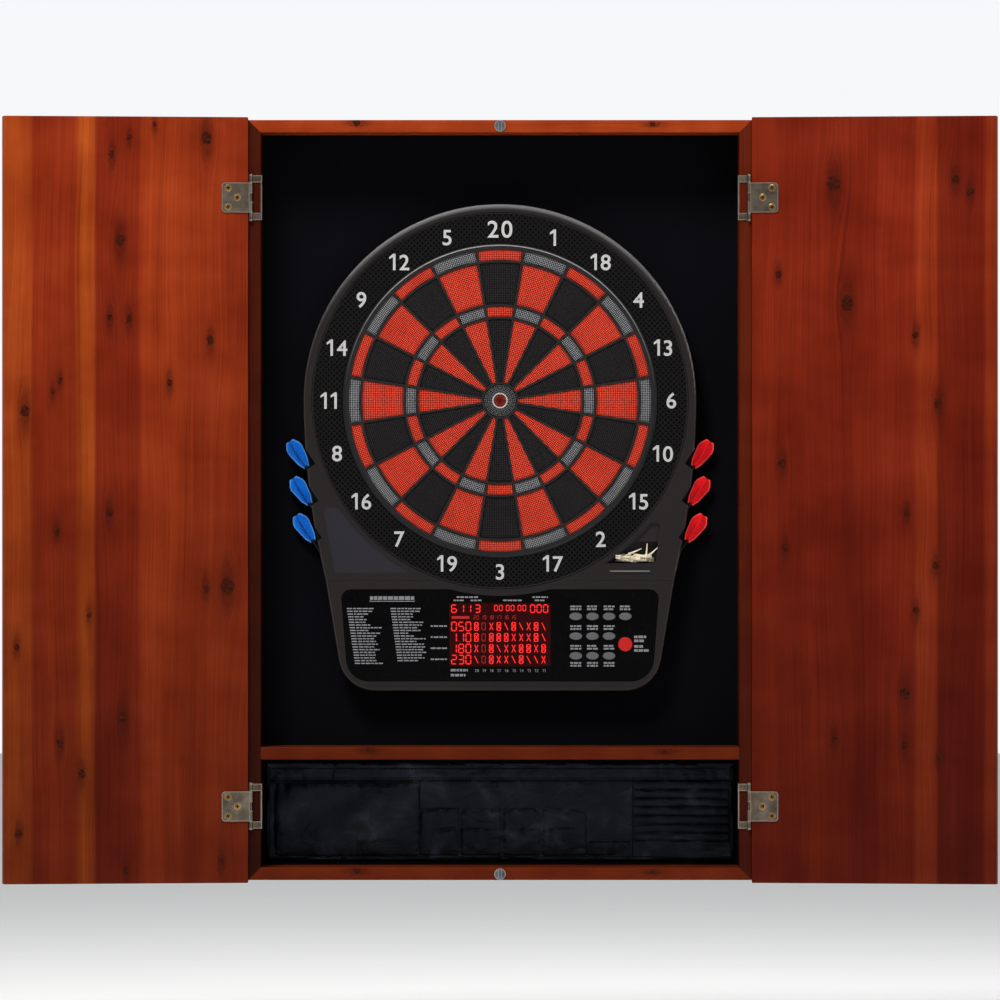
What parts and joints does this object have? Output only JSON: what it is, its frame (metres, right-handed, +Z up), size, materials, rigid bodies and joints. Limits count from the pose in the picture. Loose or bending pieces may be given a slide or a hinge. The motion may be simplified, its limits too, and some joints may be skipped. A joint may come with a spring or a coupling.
{
  "type": "dart board cabinet",
  "caption": "Wall-hung pine dart cabinet with two hinged doors, an electronic soft-tip dart board, stored darts and a pocketed nylon organiser below a shelf.",
  "frame": {"origin": "centre of the cabinet's back face, which lies on the wall", "axes": "+Z up, +X to the viewer's right when facing the open cabinet, -Y out of the front, +Y into the wall"},
  "size_m": [1.2772, 0.155, 0.985],
  "materials": {
    "stained_pine": "satin",
    "black_panel": "matte",
    "screw_steel": "zinc",
    "screw_brass": "antique",
    "magnet_steel": "satin",
    "hinge_metal": "antique nickel",
    "housing_plastic": "fine grain",
    "web_plastic": "satin",
    "black_segment_plastic": "satin",
    "red_segment_plastic": "satin",
    "grey_segment_plastic": "satin",
    "mat_rubber": "matte",
    "film_plastic": "smooth",
    "gloss_panel": "gloss",
    "led_lens": "gloss",
    "circuit_board": "satin",
    "red_button": "satin",
    "grey_button": "satin",
    "tip_nylon": "satin",
    "blue_flight": "satin",
    "red_flight": "satin",
    "black_nylon": "sheen"
  },
  "bodies": {
    "cabinet": {"left_side_panel": "stained_pine", "right_side_panel": "stained_pine", "bottom_panel": "stained_pine", "top_panel": "stained_pine", "shelf_divider": "stained_pine", "back_panel": "black_panel", "carcass_screws": "screw_steel", "magnet_catches": "magnet_steel", "hinge_pins": "hinge_metal", "frame_leaf_screws": "screw_brass", "board_rear_housing": "housing_plastic", "board_screws": "screw_steel", "board_front_bezel": "housing_plastic", "catch_ring": "housing_plastic", "segment_web": "web_plastic", "black_segments": "black_segment_plastic", "red_segments": "red_segment_plastic", "grey_segments": "grey_segment_plastic", "rubber_mat": "mat_rubber", "switch_matrix": "film_plastic", "display_overlay": "gloss_panel", "led_display": "led_lens", "main_circuit_board": "circuit_board", "power_jack": "housing_plastic", "tip_pocket": "housing_plastic", "spare_tips": "tip_nylon", "dart_holders": "housing_plastic", "nylon_organiser": "black_nylon", "left_upper_frame_leaf": "hinge_metal", "left_lower_frame_leaf": "hinge_metal", "right_upper_frame_leaf": "hinge_metal", "right_lower_frame_leaf": "hinge_metal"},
    "left_door": {"left_door_panel": "stained_pine", "left_door_knob": "stained_pine", "left_door_screws": "screw_brass", "left_upper_door_leaf": "hinge_metal", "left_lower_door_leaf": "hinge_metal"},
    "right_door": {"right_door_panel": "stained_pine", "right_door_knob": "stained_pine", "right_door_screws": "screw_brass", "right_upper_door_leaf": "hinge_metal", "right_lower_door_leaf": "hinge_metal"},
    "inner_bull": {"inner_bull": "red_segment_plastic"},
    "button_top_1": {"button_top_1": "grey_button"},
    "button_top_2": {"button_top_2": "grey_button"},
    "button_top_3": {"button_top_3": "grey_button"},
    "button_top_4": {"button_top_4": "grey_button"},
    "button_middle_1": {"button_middle_1": "grey_button"},
    "button_middle_2": {"button_middle_2": "grey_button"},
    "button_middle_3": {"button_middle_3": "grey_button"},
    "button_bottom_1": {"button_bottom_1": "grey_button"},
    "button_bottom_2": {"button_bottom_2": "grey_button"},
    "button_bottom_3": {"button_bottom_3": "grey_button"},
    "start_button": {"start_button": "red_button"},
    "blue_dart_1": {"blue_dart_1": "blue_flight"},
    "blue_dart_2": {"blue_dart_2": "blue_flight"},
    "blue_dart_3": {"blue_dart_3": "blue_flight"},
    "red_dart_1": {"red_dart_1": "red_flight"},
    "red_dart_2": {"red_dart_2": "red_flight"},
    "red_dart_3": {"red_dart_3": "red_flight"}
  },
  "joints": [
    {"name": "left_door_hinge", "type": "hinge", "parent": "cabinet", "child": "left_door", "pos_m": [-0.3205, -0.106, 0], "axis": [0, 0, 1], "range_deg": [-3, 171.5]},
    {"name": "right_door_hinge", "type": "hinge", "parent": "cabinet", "child": "right_door", "pos_m": [0.3205, -0.106, 0], "axis": [0, 0, -1], "range_deg": [-3, 171.5]},
    {"name": "inner_bull_press", "type": "slide", "parent": "cabinet", "child": "inner_bull", "axis": [0, 1, 0], "range_m": [0, 0.001], "stiffness_N_per_m": 600, "springref_m": -0.0005},
    {"name": "button_top_1_press", "type": "slide", "parent": "cabinet", "child": "button_top_1", "axis": [0, 1, 0], "range_m": [0, 0.0012], "stiffness_N_per_m": 300, "springref_m": -0.0005},
    {"name": "button_top_2_press", "type": "slide", "parent": "cabinet", "child": "button_top_2", "axis": [0, 1, 0], "range_m": [0, 0.0012], "stiffness_N_per_m": 300, "springref_m": -0.0005},
    {"name": "button_top_3_press", "type": "slide", "parent": "cabinet", "child": "button_top_3", "axis": [0, 1, 0], "range_m": [0, 0.0012], "stiffness_N_per_m": 300, "springref_m": -0.0005},
    {"name": "button_top_4_press", "type": "slide", "parent": "cabinet", "child": "button_top_4", "axis": [0, 1, 0], "range_m": [0, 0.0012], "stiffness_N_per_m": 300, "springref_m": -0.0005},
    {"name": "button_middle_1_press", "type": "slide", "parent": "cabinet", "child": "button_middle_1", "axis": [0, 1, 0], "range_m": [0, 0.0012], "stiffness_N_per_m": 300, "springref_m": -0.0005},
    {"name": "button_middle_2_press", "type": "slide", "parent": "cabinet", "child": "button_middle_2", "axis": [0, 1, 0], "range_m": [0, 0.0012], "stiffness_N_per_m": 300, "springref_m": -0.0005},
    {"name": "button_middle_3_press", "type": "slide", "parent": "cabinet", "child": "button_middle_3", "axis": [0, 1, 0], "range_m": [0, 0.0012], "stiffness_N_per_m": 300, "springref_m": -0.0005},
    {"name": "button_bottom_1_press", "type": "slide", "parent": "cabinet", "child": "button_bottom_1", "axis": [0, 1, 0], "range_m": [0, 0.0012], "stiffness_N_per_m": 300, "springref_m": -0.0005},
    {"name": "button_bottom_2_press", "type": "slide", "parent": "cabinet", "child": "button_bottom_2", "axis": [0, 1, 0], "range_m": [0, 0.0012], "stiffness_N_per_m": 300, "springref_m": -0.0005},
    {"name": "button_bottom_3_press", "type": "slide", "parent": "cabinet", "child": "button_bottom_3", "axis": [0, 1, 0], "range_m": [0, 0.0012], "stiffness_N_per_m": 300, "springref_m": -0.0005},
    {"name": "start_button_press", "type": "slide", "parent": "cabinet", "child": "start_button", "axis": [0, 1, 0], "range_m": [0, 0.0012], "stiffness_N_per_m": 300, "springref_m": -0.0005},
    {"name": "blue_dart_1_slide", "type": "slide", "parent": "cabinet", "child": "blue_dart_1", "axis": [-0.5446, 0, 0.8387], "range_m": [0, 0.05]},
    {"name": "blue_dart_2_slide", "type": "slide", "parent": "cabinet", "child": "blue_dart_2", "axis": [-0.5446, 0, 0.8387], "range_m": [0, 0.05]},
    {"name": "blue_dart_3_slide", "type": "slide", "parent": "cabinet", "child": "blue_dart_3", "axis": [-0.5446, 0, 0.8387], "range_m": [0, 0.05]},
    {"name": "red_dart_1_slide", "type": "slide", "parent": "cabinet", "child": "red_dart_1", "axis": [0.5446, 0, 0.8387], "range_m": [0, 0.05]},
    {"name": "red_dart_2_slide", "type": "slide", "parent": "cabinet", "child": "red_dart_2", "axis": [0.5446, 0, 0.8387], "range_m": [0, 0.05]},
    {"name": "red_dart_3_slide", "type": "slide", "parent": "cabinet", "child": "red_dart_3", "axis": [0.5446, 0, 0.8387], "range_m": [0, 0.05]}
  ]
}
